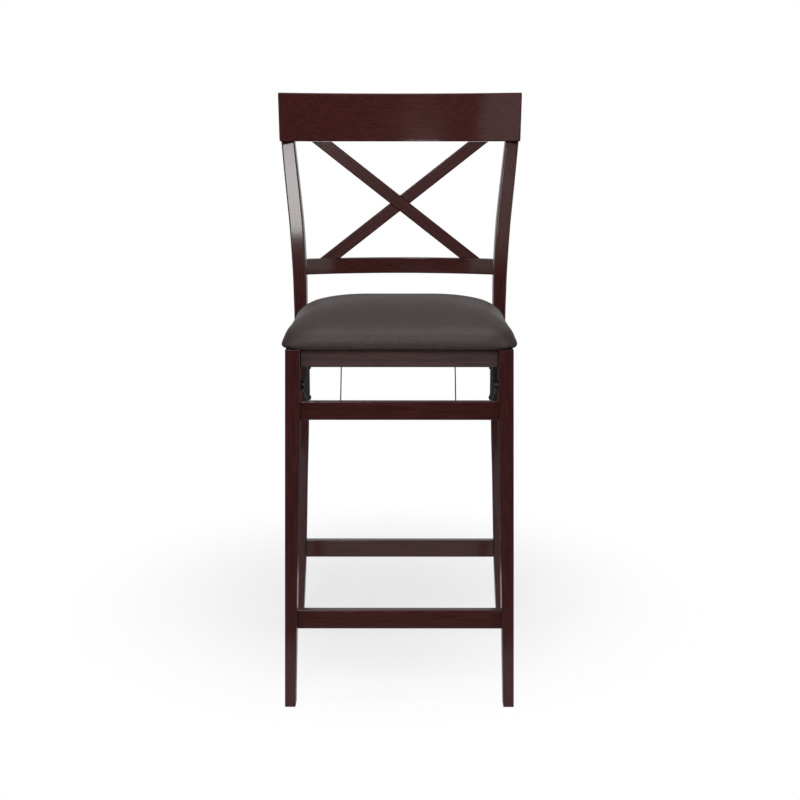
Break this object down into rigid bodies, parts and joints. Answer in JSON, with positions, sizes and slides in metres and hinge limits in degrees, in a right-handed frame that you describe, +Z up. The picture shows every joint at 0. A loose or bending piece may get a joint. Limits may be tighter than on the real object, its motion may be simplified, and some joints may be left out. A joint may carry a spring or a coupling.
{
  "type": "folding bar stool",
  "caption": "Folding bar stool with an X back, dark wood frame, padded vinyl seat and steel folding gear",
  "frame": {"origin": "on the floor, under the middle of the stool's bounding box", "axes": "+Z is up, +Y points to the back of the stool, +X is to the right as seen from the front"},
  "size_m": [0.4362, 0.4798, 0.998],
  "materials": {
    "espresso_wood": "dark espresso stain under satin lacquer, edges eased",
    "vinyl": "grey-brown vinyl with fine grain and a soft sheen",
    "plywood": "raw sanded plywood",
    "black_steel": "black powder-coated steel",
    "wire": "drawn steel wire, dulled",
    "zinc": "zinc-plated hardware",
    "nylon": "black moulded nylon"
  },
  "bodies": {
    "back_frame": {"back_post_left": "espresso_wood", "back_post_right": "espresso_wood", "hinge_plate_left": "black_steel", "hinge_plate_right": "black_steel", "lower_back_rail": "espresso_wood", "plate_screw_lower_left": "zinc", "plate_screw_lower_right": "zinc", "plate_screw_upper_left": "zinc", "plate_screw_upper_right": "zinc", "rear_foot_pad_left": "nylon", "rear_foot_pad_right": "nylon", "rear_stretcher": "espresso_wood", "strap_rivet_left": "zinc", "strap_rivet_right": "zinc", "top_rail": "espresso_wood", "x_slat_front": "espresso_wood", "x_slat_rear": "espresso_wood"},
    "seat": {"clip_screw_left": "zinc", "clip_screw_right": "zinc", "cushion": "vinyl", "seat_apron": "espresso_wood", "seat_board": "plywood", "seat_bolt_left": "zinc", "seat_bolt_right": "zinc", "seat_nut_left": "zinc", "seat_nut_right": "zinc", "seat_rail_left": "espresso_wood", "seat_rail_rear": "espresso_wood", "seat_rail_right": "espresso_wood", "seat_screw_front_left": "zinc", "seat_screw_front_right": "zinc", "seat_screw_rear_left": "zinc", "seat_screw_rear_right": "zinc", "seat_spacer_left": "nylon", "seat_spacer_right": "nylon", "stay_clip_left": "black_steel", "stay_clip_right": "black_steel"},
    "side_straps": {"side_strap_left": "black_steel", "side_strap_right": "black_steel"},
    "front_frame": {"footrest": "espresso_wood", "front_foot_pad_left": "nylon", "front_foot_pad_right": "nylon", "front_leg_left": "espresso_wood", "front_leg_right": "espresso_wood", "stay_eye_left": "zinc", "stay_eye_right": "zinc", "strap_pin_left": "zinc", "strap_pin_right": "zinc", "upper_stretcher": "espresso_wood"},
    "stays": {"wire_stay_left": "wire", "wire_stay_right": "wire"}
  },
  "joints": [
    {"name": "seat_fold", "type": "hinge", "parent": "back_frame", "child": "seat", "pos_m": [0, 0.06812, 0.574], "axis": [-1, 0, 0], "range_deg": [0, 90]},
    {"name": "strap_swing", "type": "hinge", "parent": "back_frame", "child": "side_straps", "pos_m": [0, 0.05312, 0.455], "axis": [-1, 0, 0], "range_deg": [0, 68.3]},
    {"name": "front_fold", "type": "hinge", "parent": "side_straps", "child": "front_frame", "pos_m": [0, -0.20188, 0.528], "axis": [-1, 0, 0], "range_deg": [-68.3, 0]},
    {"name": "stay_swing", "type": "hinge", "parent": "front_frame", "child": "stays", "pos_m": [0, -0.20088, 0.494], "axis": [-1, 0, 0], "range_deg": [-9.1, 0]}
  ],
  "couplings": [
    {"joint": "strap_swing", "follows": "seat_fold", "ratio": 0.75758},
    {"joint": "front_fold", "follows": "seat_fold", "ratio": -0.75758},
    {"joint": "stay_swing", "follows": "seat_fold", "ratio": -0.1}
  ]
}
